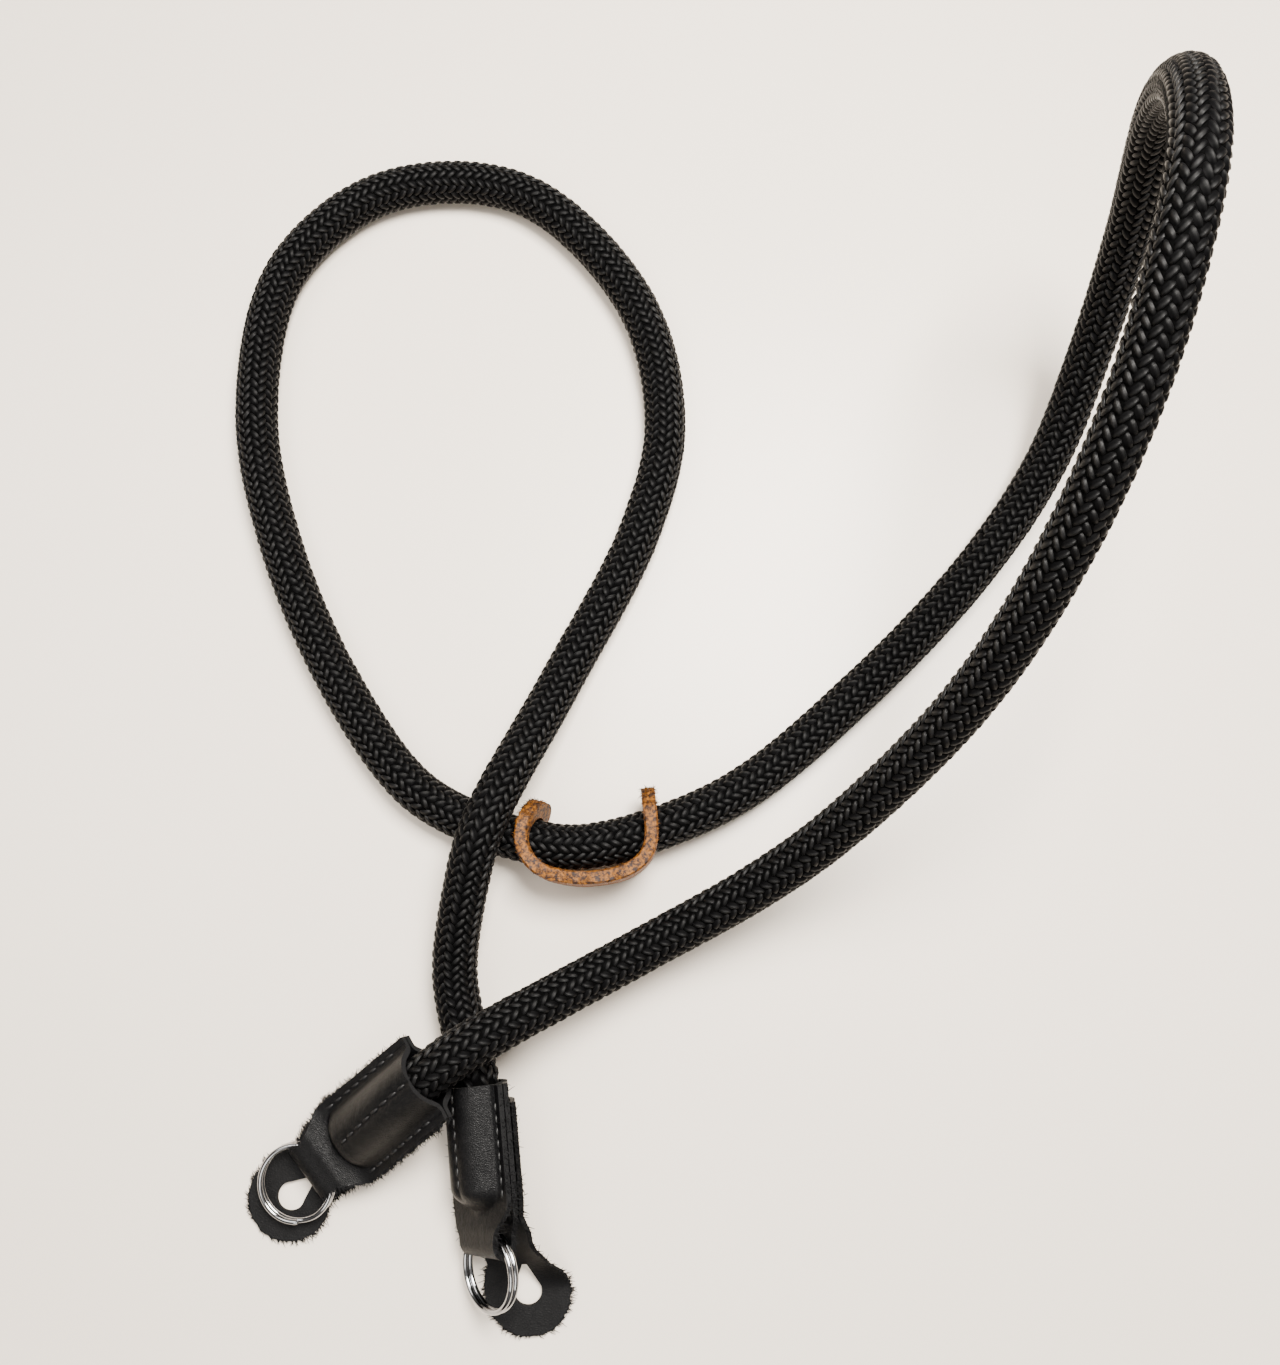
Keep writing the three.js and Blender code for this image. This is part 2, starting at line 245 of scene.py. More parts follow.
@dataclass(frozen=True)
class Ink:
    """Builder of one material's node tree."""

    material: Finish

    @classmethod
    def start(cls, name: str, roughness: float, **sockets: float | tuple[float, ...]) -> "Ink":
        """New material with its Principled sockets set.

        Args:
            name: Name of the material.
            roughness: Roughness of its surface.
            **sockets: Other sockets by name, with underscores for spaces.

        Returns:
            The builder.
        """
        material = bpy.data.materials.new(name)
        material.use_nodes = True
        shader = material.node_tree.nodes["Principled BSDF"]
        shader.inputs["Roughness"].default_value = roughness
        for key, value in sockets.items():
            shader.inputs[key.replace("_", " ")].default_value = value
        return cls(material)

    @property
    def shader(self) -> Node:
        """Principled shader of the material.

        Returns:
            The node.
        """
        return self.material.node_tree.nodes["Principled BSDF"]

    def node(self, kind: str, **values: object) -> Node:
        """Add a node.

        Args:
            kind: Type of node.
            **values: Sockets by name with underscores for spaces, or properties.

        Returns:
            The node.
        """
        made = self.material.node_tree.nodes.new(kind)
        for key, value in values.items():
            name = key.replace("_", " ")
            if name in made.inputs:
                made.inputs[name].default_value = value
            else:
                setattr(made, key, value)
        return made

    def link(self, start: Socket, end: Socket) -> None:
        """Join two sockets.

        Args:
            start: The output.
            end: The input.
        """
        self.material.node_tree.links.new(start, end)

    def coords(self) -> Socket:
        """Place on the object.

        Returns:
            The object coordinates.
        """
        return self.node("ShaderNodeTexCoord").outputs["Object"]

    def group(self, tree: Tree, **values: float) -> Node:
        """Add a node group on object coordinates.

        Args:
            tree: The group.
            **values: Its inputs.

        Returns:
            The node.
        """
        made = self.material.node_tree.nodes.new("ShaderNodeGroup")
        made.node_tree = tree
        for key, value in values.items():
            made.inputs[key].default_value = value
        self.link(self.coords(), made.inputs["Place"])
        return made

    def attribute(self, name: str) -> Socket:
        """Number stored on the mesh.

        Args:
            name: Name of the attribute.

        Returns:
            The number.
        """
        return self.node("ShaderNodeAttribute", attribute_name=name).outputs["Fac"]

    def noise(self, scale: float, detail: float, **values: float) -> Node:
        """Noise on the object's coordinates.

        Args:
            scale: Its scale per metre.
            detail: Its detail.
            **values: Other sockets.

        Returns:
            The noise node.
        """
        made = self.node("ShaderNodeTexNoise", Scale=scale, Detail=detail, **values)
        self.link(self.coords(), made.inputs["Vector"])
        return made

    def paint(self, mix: Node) -> None:
        """Give the surface the colour of a mix node.

        Args:
            mix: The mix node.
        """
        self.link(mix.outputs[MIX_COLOUR], self.shader.inputs["Base Color"])

    def paint_cut(self, skin: Node, raw: Node) -> None:
        """Give the cut edges one colour and the skin another.

        Args:
            skin: Mix node of the skin's colour.
            raw: Mix node of the cut edge's colour.
        """
        cut = self.node("ShaderNodeMix", data_type="RGBA")
        self.link(self.attribute("edge"), cut.inputs[MIX_SHARE])
        self.link(skin.outputs[MIX_COLOUR], cut.inputs[MIX_LOW])
        self.link(raw.outputs[MIX_COLOUR], cut.inputs[MIX_HIGH])
        self.paint(cut)

    def blend(self, factor: Socket, low: Colour, high: Colour) -> Node:
        """Mix of two colours.

        Args:
            factor: Share of the second.
            low: First colour.
            high: Second colour.

        Returns:
            The mix node.
        """
        mix = self.node("ShaderNodeMix", data_type="RGBA")
        mix.inputs[MIX_LOW].default_value = (*low, 1.0)
        mix.inputs[MIX_HIGH].default_value = (*high, 1.0)
        self.link(factor, mix.inputs[MIX_SHARE])
        return mix

    def bump(self, height: Socket, strength: float, distance: float,
             under: Node | None = None) -> Node:
        """Bump from a height.

        Args:
            height: The height.
            strength: How strong it is.
            distance: Its depth in metres.
            under: A bump that this one lies on.

        Returns:
            The bump node, linked to the shader.
        """
        made = self.node("ShaderNodeBump", Strength=strength, Distance=distance)
        self.link(height, made.inputs["Height"])
        if under is not None:
            self.link(under.outputs["Normal"], made.inputs["Normal"])
        self.link(made.outputs["Normal"], self.shader.inputs["Normal"])
        return made


def new_group(name: str, inputs: dict[str, float],
              outputs: Sequence[str]) -> tuple[Tree, Node, Node]:
    """Empty shader node group that works on a place.

    Args:
        name: Name of the group.
        inputs: Number inputs with their defaults.
        outputs: Number outputs.

    Returns:
        The tree, its input node and its output node.
    """
    tree = bpy.data.node_groups.new(name, "ShaderNodeTree")
    tree.interface.new_socket("Place", in_out="INPUT", socket_type="NodeSocketVector")
    for key, value in inputs.items():
        made = tree.interface.new_socket(key, in_out="INPUT", socket_type="NodeSocketFloat")
        made.default_value = value
    for key in outputs:
        tree.interface.new_socket(key, in_out="OUTPUT", socket_type="NodeSocketFloat")
    return tree, tree.nodes.new("NodeGroupInput"), tree.nodes.new("NodeGroupOutput")


def grain_group() -> Tree:
    """Leather grain: small pebbles on a soft mottle.

    Returns:
        The group, with a height and a mottle.
    """
    tree, start, end = new_group("leather_grain", {"Scale": 1400.0}, ("Height", "Mottle"))
    nodes, links = tree.nodes, tree.links
    pebble = nodes.new("ShaderNodeTexVoronoi")
    pebble.feature = "DISTANCE_TO_EDGE"
    warp = nodes.new("ShaderNodeTexNoise")
    warp.inputs["Scale"].default_value = 420.0
    warp.inputs["Detail"].default_value = 4.0
    shift = nodes.new("ShaderNodeMix")
    shift.data_type = "VECTOR"
    shift.inputs[MIX_SHARE].default_value = 0.0012
    links.new(start.outputs["Place"], warp.inputs["Vector"])
    links.new(start.outputs["Place"], shift.inputs[VECTOR_LOW])
    links.new(warp.outputs["Color"], shift.inputs[VECTOR_HIGH])
    links.new(shift.outputs[VECTOR_MIX], pebble.inputs["Vector"])
    links.new(start.outputs["Scale"], pebble.inputs["Scale"])
    rounder = nodes.new("ShaderNodeMapRange")
    rounder.inputs["From Max"].default_value = 0.35
    links.new(pebble.outputs["Distance"], rounder.inputs["Value"])
    total = nodes.new("ShaderNodeMath")
    total.operation = "MULTIPLY_ADD"
    total.inputs[1].default_value = 0.6
    links.new(rounder.outputs["Result"], total.inputs[0])
    links.new(warp.outputs["Fac"], total.inputs[2])
    links.new(total.outputs[0], end.inputs["Height"])
    links.new(warp.outputs["Fac"], end.inputs["Mottle"])
    return tree


@dataclass(frozen=True)
class Finishes:
    """Every finish of the strap."""

    grain: Tree = field(default_factory=grain_group)

    def braid(self) -> Finish:
        """Black yarn of the braid, with its filaments running along each float.

        Returns:
            The material.
        """
        ink = Ink.start("black_yarn", 0.44, Specular_IOR_Level=0.16)
        noise = ink.noise(260.0, 3.0)
        colour = ink.blend(noise.outputs["Fac"], (0.0012, 0.0012, 0.0013), (0.0034, 0.0033, 0.0035))
        ink.paint(colour)
        wave = ink.node("ShaderNodeMath", operation="SINE")
        scale = ink.node("ShaderNodeMath", operation="MULTIPLY")
        scale.inputs[1].default_value = 42.0
        across = ink.attribute("across")
        ink.link(across, scale.inputs[0])
        shine = ink.node("ShaderNodeMapRange", interpolation_type="SMOOTHSTEP",
                         From_Min=-0.3, From_Max=0.3, To_Min=0.02, To_Max=0.19)
        ink.link(across, shine.inputs["Value"])
        ink.link(shine.outputs["Result"], ink.shader.inputs["Specular IOR Level"])
        ink.link(scale.outputs[0], wave.inputs[0])
        ink.bump(wave.outputs[0], 0.35, 0.00006)
        return ink.material

    def core(self) -> Finish:
        """Inside of the rope, seen between the yarns, coloured darker than the yarns as painted shade in the gaps.

        Returns:
            The material.
        """
        ink = Ink.start("rope_core", 0.9, Specular_IOR_Level=0.02)
        noise = ink.noise(900.0, 2.0)
        # painted shade: the core is darker than the yarns so the gaps between floats read as shaded
        colour = ink.blend(noise.outputs["Fac"], (0.0006, 0.0006, 0.0006), (0.0014, 0.0014, 0.0014))
        ink.paint(colour)
        ink.bump(noise.outputs["Fac"], 0.3, 0.0001)
        return ink.material

    def leather(self, name: str, scale: float, low: Colour, high: Colour, edge: Colour,
                roughness: float, depth: float = 0.00016) -> Finish:
        """Grained leather whose cut edges show the raw fibre.

        Args:
            name: Name of the finish.
            scale: Pebbles of the grain per metre.
            low: Colour in the hollows.
            high: Colour on the crests.
            edge: Colour of the cut edge.
            roughness: Roughness of the grain side.
            depth: Depth of the grain in metres.

        Returns:
            The material.
        """
        ink = Ink.start(name, roughness, Specular_IOR_Level=0.15)
        grain = ink.group(self.grain, Scale=scale)
        skin = ink.blend(grain.outputs["Mottle"], low, high)
        fibre = ink.noise(2600.0, 3.0)
        raw = ink.blend(fibre.outputs["Fac"], tuple(0.45 * c for c in edge), tuple(1.5 * c for c in edge))
        ink.paint_cut(skin, raw)
        gloss = ink.node("ShaderNodeMapRange", To_Min=roughness, To_Max=0.95)
        ink.link(ink.attribute("edge"), gloss.inputs["Value"])
        ink.link(gloss.outputs["Result"], ink.shader.inputs["Roughness"])
        ink.bump(grain.outputs["Height"], 0.55, depth)
        return ink.material

    def thread(self) -> Finish:
        """Waxed black sewing thread.

        Returns:
            The material.
        """
        ink = Ink.start("sewing_thread", 0.45, Specular_IOR_Level=0.3)
        twist = ink.noise(3000.0, 2.0)
        colour = ink.blend(twist.outputs["Fac"], (0.002, 0.002, 0.0021), (0.008, 0.008, 0.0085))
        ink.paint(colour)
        ink.bump(twist.outputs["Fac"], 0.4, 0.0001)
        return ink.material

    def chrome(self) -> Finish:
        """Polished plated steel with faint scuffs.

        Returns:
            The material.
        """
        ink = Ink.start("plated_steel", 0.12, Metallic=1.0)
        scuff = ink.noise(900.0, 5.0)
        colour = ink.blend(scuff.outputs["Fac"], (0.3, 0.304, 0.315), (0.44, 0.445, 0.46))
        ink.paint(colour)
        gloss = ink.node("ShaderNodeMapRange", To_Min=0.04, To_Max=0.13)
        ink.link(scuff.outputs["Fac"], gloss.inputs["Value"])
        ink.link(gloss.outputs["Result"], ink.shader.inputs["Roughness"])
        return ink.material

    def tan(self) -> Finish:
        """Raw tan leather with dark flecks and a fibrous cut.

        Returns:
            The material.
        """
        ink = Ink.start("tan_hide", 0.62, Specular_IOR_Level=0.35)
        grain = ink.group(self.grain, Scale=900.0)
        hide = ink.blend(grain.outputs["Mottle"], (0.115, 0.035, 0.0014), (0.21, 0.07, 0.0032))
        fibre = ink.noise(1100.0, 6.0, Roughness=0.7)
        fleck = ink.node("ShaderNodeMapRange", From_Min=0.41, From_Max=0.56)
        ink.link(fibre.outputs["Fac"], fleck.inputs["Value"])
        raw = ink.blend(fleck.outputs["Result"], (0.2, 0.068, 0.002), (0.014, 0.0035, 0.0003))
        ink.paint_cut(hide, raw)
        first = ink.bump(grain.outputs["Height"], 0.4, 0.0002)
        ink.bump(fibre.outputs["Fac"], 0.5, 0.0003, first)
        return ink.material

    def table(self) -> Finish:
        """Pale glossy table top.

        Returns:
            The material.
        """
        ink = Ink.start("pale_table", 0.3, Specular_IOR_Level=0.35)
        haze = ink.noise(9.0, 3.0)
        colour = ink.blend(haze.outputs["Fac"], (0.8, 0.715, 0.615), (0.85, 0.765, 0.665))
        ink.paint(colour)
        return ink.material


# Sizes that the pieces share, in millimetres
LEATHER = 1.2
GAP = 0.3
ROPE_RADIUS = 5.0
LINE_STEP = 0.5
TAB_LENGTH = 35.0
TAB_HALF_WIDTH = 9.6
SEAM_EDGE = 8.0
POCKET_TIP = 9.2
POCKET_FULL = 14.6
THINNEST_PART = 0.15
# Tab: distance from the fold, half width, half gap between its layers, share of the rope's bulge
TAB_ROWS: tuple[Row, ...] = (
    (3, 5.8, 1.8, 0), (4.6, 6.0, 1.8, 0), (6.4, 6.8, 1.75, 0), (8.2, 8.0, 1.0, 0), (9.8, 9.1, 0.4, 0.12),
    (11.2, 9.5, 0.15, 0.55), (12.8, TAB_HALF_WIDTH, 0.15, 0.88), (14.6, TAB_HALF_WIDTH, 0.15, 1),
    (TAB_LENGTH, TAB_HALF_WIDTH, 0.15, 1),
)
# Bulge over the rope: distance from the middle, share of the full height
BULGE_ROWS: tuple[Row, ...] = (
    (0, 1), (1.8, 0.945), (3.4, 0.79), (4.6, 0.56), (5.5, 0.28), (6.4, 0.08), (7.6, 0), (TAB_HALF_WIDTH, 0),
)


@dataclass(frozen=True)
class End:
    """Lie of one end of the strap: its fold in plan, its heading, and its height and roll along it."""

    fold: tuple[float, float]
    heading: float
    lie: tuple[Row, ...]

    def point(self, along: float, across: float, out: float) -> Points:
        """Point of the tab's own space.

        Args:
            along: Distance from the fold.
            across: Distance to the right of its middle line.
            out: Distance out from its middle plane.

        Returns:
            The point in millimetres.
        """
        step = 0.05
        height = smooth(self.lie, 1, along)
        climb = (smooth(self.lie, 1, along + step) - smooth(self.lie, 1, along - step)) / (2 * step)
        turn, roll = math.radians(self.heading), math.radians(smooth(self.lie, 2, along))
        forward = np.array((math.cos(turn), math.sin(turn), climb))
        forward /= np.linalg.norm(forward)
        right = np.array((math.sin(turn), -math.cos(turn), 0.0))
        up = np.cross(right, forward)
        v = right * math.cos(roll) + up * math.sin(roll)
        w = up * math.cos(roll) - right * math.sin(roll)
        base = (self.fold[0] + math.cos(turn) * along, self.fold[1] + math.sin(turn) * along, height)
        return np.array(base) + v * across + w * out


LEFT = End((-77.5, -103), 38.6, (
    (0, 5.1, 0), (7, 6.1, 0), (14, 8.2, 3), (21, 12.1, 8), (28, 15.9, 12), (35, 19, 14),
))
RIGHT = End((-37.5, -118.5), 96, ((0, 9.4, 47), (18, 9.4, 47), (35, 9.4, 47)))


def layer_section(along: float, offset: float, across: Sequence[float],
                  groove: float = 0.0) -> list[tuple[float, float]]:
    """Section of a leather layer over the rope.

    Args:
        along: Place along the tab.
        offset: Distance out from the rope side of the leather.
        across: Places across the tab at its full width.
        groove: Depth that the middle seam pulls in.

    Returns:
        Across and out of each point.
    """
    half = smooth(TAB_ROWS, 1, along)
    part = max(THINNEST_PART, smooth(TAB_ROWS, 2, along))
    bulge = clamp(smooth(TAB_ROWS, 3, along))
    height = ROPE_RADIUS + 2 * GAP - part
    short = clamp((POCKET_FULL - along) / (POCKET_FULL - POCKET_TIP))
    width = math.sqrt(max(0.04, 1 - short * short))

    def base(place: float) -> tuple[float, float]:
        """Point of the rope side of the leather.

        Args:
            place: Place across the tab at its full width.

        Returns:
            Its across and out.
        """
        rise = max(0.0, smooth(BULGE_ROWS, 1, abs(place) / width))
        dip = groove * bulge * math.exp(-(place / 0.9) ** 2)
        side = math.exp(-((abs(place) - SEAM_EDGE) / 0.55) ** 2)
        dip += 0.4 * groove * side * clamp((along - 11) / 2)
        return place * half / TAB_HALF_WIDTH, part + rise * bulge * height - dip

    section = []
    for place in across:
        low, high = base(max(-TAB_HALF_WIDTH, place - 0.4)), base(min(TAB_HALF_WIDTH, place + 0.4))
        run, climb = high[0] - low[0], high[1] - low[1]
        length = math.hypot(run, climb)
        mid = base(place)
        section.append((mid[0] - climb / length * offset, mid[1] + run / length * offset))
    return section


@dataclass
class Rope:
    """Braided rope along its route, with a core coloured darker as painted shade and two sets of yarns."""

    route: tuple[Row, ...] = (
        (-41.5, -75, 20.2), (-7, -56.5, 13.4), (18.5, -42.5, 20.5), (34, -31.5, 31.5), (54.5, -10.5, 57),
        (66, 9.5, 79), (75, 36, 101), (81.5, 66, 112.5), (87, 88, 102), (93, 101, 77), (98, 93.5, 44),
        (96.5, 78.5, 24), (89.5, 57, 10), (73.5, 33, 5.7), (45.5, 3.5, 5.1), (14, -22, 6), (-17, -33, 8.4),
        (-30.5, -32, 7.6), (-43, -28, 5.6), (-57.5, -19.5, 5.2), (-74.5, 3.5, 5.1), (-90, 36.5, 5.1),
        (-98, 71, 5.1), (-92.5, 107.5, 5.1), (-69.5, 128.5, 5.1), (-36, 128.5, 5.1), (-8, 100.5, 5.1),
        (0, 68.5, 5.1), (-6, 41, 5.2), (-24.5, 3.5, 7.4), (-40, -29, 16.6), (-44, -43, 13),
        (-46.5, -60.5, 7.4), (-43.8, -74, 7.6),
    )
    held: tuple[float, ...] = (15.0, 25.0, TAB_LENGTH + 2)
    core_radius: float = 4.55
    columns: int = 16
    pitch: float = 2.2
    float_half: float = 1.5
    float_width: float = 1.42
    crown: float = 5.08
    end_taper: float = 4.5
    bare_end: float = 18.5

    def line(self) -> Points:
        """Evenly spaced points of the centre line, on one smooth curve through the route.

        Returns:
            The points, in millimetres.
        """
        first = [LEFT.point(a, 0, 0) for a in self.held]
        last = [RIGHT.point(a, 0, 0) for a in reversed(self.held)]
        pts = np.array([*first, *[np.array(p, float) for p in self.route], *last])
        pts = np.vstack([2 * pts[0] - pts[1], pts, 2 * pts[-1] - pts[-2]])
        out = []
        for p0, p1, p2, p3 in zip(pts, pts[1:], pts[2:], pts[3:]):
            d0, d1, d2 = (math.sqrt(np.linalg.norm(b - a)) for a, b in ((p0, p1), (p1, p2), (p2, p3)))
            m1 = ((p1 - p0) / d0 - (p2 - p0) / (d0 + d1) + (p2 - p1) / d1) * d1
            m2 = ((p2 - p1) / d1 - (p3 - p1) / (d1 + d2) + (p3 - p2) / d2) * d1
            t = np.linspace(0, 1, 120, endpoint=False)[:, None]
            out.append(p1 + m1 * t + (3 * (p2 - p1) - 2 * m1 - m2) * t**2 + (2 * (p1 - p2) + m1 + m2) * t**3)
        raw = np.vstack([*out, pts[-2][None]])
        length = np.concatenate([[0], np.cumsum(np.linalg.norm(np.diff(raw, axis=0), axis=1))])
        even = np.linspace(0, length[-1], int(length[-1] / LINE_STEP) + 1)
        return np.stack([np.interp(even, length, raw[:, i]) for i in range(3)], axis=1)

    @staticmethod
    def frames(line: Points) -> tuple[Points, Points, Points]:
        """Frames that turn as little as they can along the line.

        Args:
            line: Points of the centre line.

        Returns:
            Tangents, normals and the third axes.
        """
        tangent = np.gradient(line, axis=0)
        tangent /= np.linalg.norm(tangent, axis=1)[:, None]
        normal = np.zeros_like(line)
        now = np.cross(tangent[0], (0.0, 0.0, 1.0))
        for i, t in enumerate(tangent):
            now = now - t * now.dot(t)
            now = now / np.linalg.norm(now)
            normal[i] = now
        return tangent, normal, np.cross(tangent, normal)

    def build(self, finishes: Finishes) -> list[Piece]:
        """Make the core and both sets of yarns.

        Args:
            finishes: The finishes.

        Returns:
            The pieces.
        """
        line = self.line()
        _, normal, side = self.frames(line)
        length = LINE_STEP * (len(line) - 1)
        core = self.core(line, normal, side)
        settle(core, Body.STRAP, finishes.core(), ("rope",))
        yarn = finishes.braid()
        yarns = [self.floats(lay, line, normal, side, length) for lay in Lay]
        for piece in yarns:
            settle(piece, Body.STRAP, yarn)
        return [core, *yarns]

    def core(self, line: Points, normal: Points, side: Points) -> Piece:
        """Plain tube inside the yarns, whose finish paints the shade between them.

        Args:
            line: Points of the centre line.
            normal: Normals along it.
            side: Third axes along it.

        Returns:
            The object.
        """
        sides = 16
        pick = np.unique(np.append(np.arange(0, len(line), 3), len(line) - 1))
        turn = np.linspace(0, 2 * math.pi, sides, endpoint=False)
        ring = np.cos(turn)[None, :, None] * normal[pick][:, None]
        ring = ring + np.sin(turn)[None, :, None] * side[pick][:, None]
        near = np.minimum(pick, len(line) - 1 - pick) * LINE_STEP
        short = np.clip(1 - near / self.end_taper, 0, 0.985)
        radius = self.core_radius * np.sqrt(1 - short**2)
        points = (line[pick][:, None] + ring * radius[:, None, None]).reshape(-1, 3)
        faces: list[Sequence[int]] = list(grid_faces(len(pick), sides, 0, True))
        faces += [tuple(range(sides)), tuple(range(len(points) - sides, len(points)))]
        return make_object("rope_core", points, faces)

    def floats(self, lay: Lay, line: Points, normal: Points, side: Points,
               length: float) -> Piece:
        """Short crowns of yarn where strands of one lay pass over two of the other.

        Args:
            lay: Which way these strands wind.
            line: Points of the centre line.
            normal: Normals along it.
            side: Third axes along it.
            length: Length of the line.

        Returns:
            The object.
        """
        begin, stop = self.bare_end, length - self.bare_end
        rows = int((stop - begin) / self.pitch)
        phase = 0.25 if lay is Lay.RIGHT else 0.75
        first = 0 if lay is Lay.RIGHT else 1
        column, row = np.meshgrid(np.arange(first, self.columns, 2), np.arange(rows), indexing="ij")
        unit = 2 * math.pi / self.columns
        rng = np.random.default_rng(7 + int(lay))
        where = begin + (row.ravel() + phase + rng.normal(0, 0.03, row.size)) * self.pitch
        turn = (column.ravel() + 0.5 + rng.normal(0, 0.03, row.size)) * unit
        slant = math.atan2(unit * ROPE_RADIUS, self.pitch)
        reach = np.array([-0.86, -0.38, 0.38, 0.86]) * self.float_half
        sink = np.array([0.3, 0.03, 0.03, 0.3])
        wide = np.array([0.82, 1.0, 1.0, 0.82])
        profile = ((-0.5, -0.46), (0.0, -0.07), (0.32, -0.03), (0.5, -0.4), (0.0, -0.8))
        local = []
        for a, s, w in zip(reach, sink, wide):
            local += [(a, p * w * self.float_width, self.crown - s + d) for p, d in profile]
        local += [(-self.float_half, 0.0, self.crown - 0.6), (self.float_half, 0.0, self.crown - 0.6)]
        shape = np.array(local)
        cos, sin = math.cos(slant), math.sin(slant) * int(lay)
        place = where[:, None] + shape[None, :, 0] * cos - shape[None, :, 1] * sin
        angle = turn[:, None] + (shape[None, :, 0] * sin + shape[None, :, 1] * cos) / ROPE_RADIUS
        radius = shape[None, :, 2] + rng.normal(0, 0.02, row.size)[:, None]
        grid = np.arange(len(line)) * LINE_STEP

        def at(values: Points) -> Points:
            """Values of the line or its frame at every point.

            Args:
                values: One row for each point of the line.

            Returns:
                The values.
            """
            return np.stack([np.interp(place, grid, values[:, i]) for i in range(3)], axis=-1)

        out = np.cos(angle)[..., None] * at(normal) + np.sin(angle)[..., None] * at(side)
        points = at(line) + radius[..., None] * out
        one: list[Face] = list(grid_faces(4, 5, 0, True))
        one += [(20, (k + 1) % 5, k) for k in range(5)]
        one += [(21, 15 + k, 15 + (k + 1) % 5) for k in range(5)]
        step = len(shape)
        faces = [tuple(v + step * n for v in f) for n in range(row.size) for f in one]
        piece = make_object(f"rope_yarns_{lay.name.lower()}", points.reshape(-1, 3), faces, 80)
        mark(piece, "across", np.tile(shape[:, 1], row.size))
        return piece


@dataclass
class Tab:
    """Leather tab folded through the ring and over the rope's end, with its seams."""

    name: str
    end: End
    fold_radius: float = 1.8
    seam_pitch: float = 2.45
    stitch: float = 1.75
    thread: float = 0.33
    groove: float = 0.6

    def build(self, finishes: Finishes, leather: Finish) -> list[Piece]:
        """Make the leather, its stitches and its loose fibres.

        Args:
            finishes: The finishes.
            leather: Leather of the tab.

        Returns:
            The pieces.
        """
        across = np.concatenate([np.linspace(-TAB_HALF_WIDTH, -6.4, 13), np.linspace(-6.1, 6.1, 37),
                                 np.linspace(6.4, TAB_HALF_WIDTH, 13)])
        outer, inner = self.face(LEATHER, across), self.face(0.0, across)
        points, faces, edge = sheet(outer, inner)
        piece = make_object(f"tab_leather_{self.name}", points, faces)
        mark(piece, "edge", np.array(edge), "FACE")
        settle(piece, Body.STRAP, leather, (f"tab_{self.name}",))
        seams = self.seams()
        settle(seams, Body.STRAP, finishes.thread())
        fuzz = fibres(f"tab_fibres_{self.name}", outer, inner, 1300, 11, 1.5)
        settle(fuzz, Body.STRAP, leather)
        return [piece, seams, fuzz]

    def face(self, offset: float, across: Points) -> Points:
        """Grid of one face of the folded strip.

        Args:
            offset: Distance out from the rope side.
            across: Places across.

        Returns:
            The points.
        """
        fold = TAB_ROWS[0][0]
        stations = np.concatenate([np.linspace(TAB_LENGTH, 16, 16), np.linspace(15.4, fold, 34)])
        dip = self.groove if offset else 0.0

        def half(along: float, way: int) -> list[Points]:
            """One row of the upper or lower half.

            Args:
                along: Place along the tab.
                way: 1 for the upper half, -1 for the lower.

            Returns:
                The points.
            """
            groove = dip * clamp((along - 11.5) / 2) if way > 0 else 0.0
            section = layer_section(along, offset, across, groove)
            return [self.end.point(along, a, way * o) for a, o in section]

        def bend(degrees: float) -> list[Points]:
            """One row round the fold.

            Args:
                degrees: Angle round the fold, 0 at its front.

            Returns:
                The points.
            """
            radius = self.fold_radius + offset
            turn = math.radians(degrees)
            section = layer_section(fold, 0.0, across)
            ahead, out = fold - radius * math.cos(turn), radius * math.sin(turn)
            return [self.end.point(ahead, a, out) for a, _ in section]

        rows = [half(a, 1) for a in stations] + [bend(d) for d in range(75, -76, -15)]
        rows += [half(a, -1) for a in stations[::-1]]
        return np.array(rows)

    def surface(self, along: float, across: float, offset: float) -> Points:
        """Point on the upper half.

        Args:
            along: Place along the tab.
            across: Place across it at its full width.
            offset: Distance out from the rope side of the leather.

        Returns:
            The point.
        """
        a, o = layer_section(along, offset, (across,), self.groove)[0]
        return self.end.point(along, a, o)

    def seams(self) -> Piece:
        """Three rows of stitches on the upper half.

        Returns:
            The joined stitches.
        """
        points: list[Points] = []
        faces: list[Face] = []
        last = 33.8
        arch = ((0.0, -0.4), (0.16, 0.04), (0.5, 0.16), (0.84, 0.04), (1.0, -0.4))
        for across, first in ((-SEAM_EDGE, 12.5), (0.0, 14.8), (SEAM_EDGE, 12.5)):
            for start in np.arange(first, last - self.stitch, self.seam_pitch):
                line = [self.surface(start + self.stitch * t, across, LEATHER + rise) for t, rise in arch]
                add_bar(points, faces, line, self.thread, 6)
        return make_object(f"tab_stitches_{self.name}", np.array(points), faces, 60)


def add_bar(points: list[Points], faces: list[Face], line: Sequence[Points],
            radius: float | Sequence[float], sides: int) -> None:
    """Add a closed bar along a line to a growing mesh.

    Args:
        points: Points so far.
        faces: Faces so far.
        line: Points that the bar follows.
        radius: Its radius, or one for each point.
        sides: Sides of its section.
    """
    track = np.array(line)
    tangent = np.gradient(track, axis=0)
    tangent /= np.linalg.norm(tangent, axis=1)[:, None]
    start = len(points)
    seed = np.array((0.31, 0.52, 0.79))
    sizes = np.broadcast_to(np.asarray(radius, float), (len(track),))
    for p, t, r in zip(track, tangent, sizes):
        n = np.cross(t, seed)
        n /= np.linalg.norm(n)
        b = np.cross(t, n)
        for k in range(sides):
            turn = 2 * math.pi * k / sides
            points.append(p + r * (math.cos(turn) * n + math.sin(turn) * b))
    faces += grid_faces(len(track), sides, start, True)
    faces.append(tuple(range(start, start + sides))[::-1])
    end = start + (len(track) - 1) * sides
    faces.append(tuple(range(end, end + sides)))


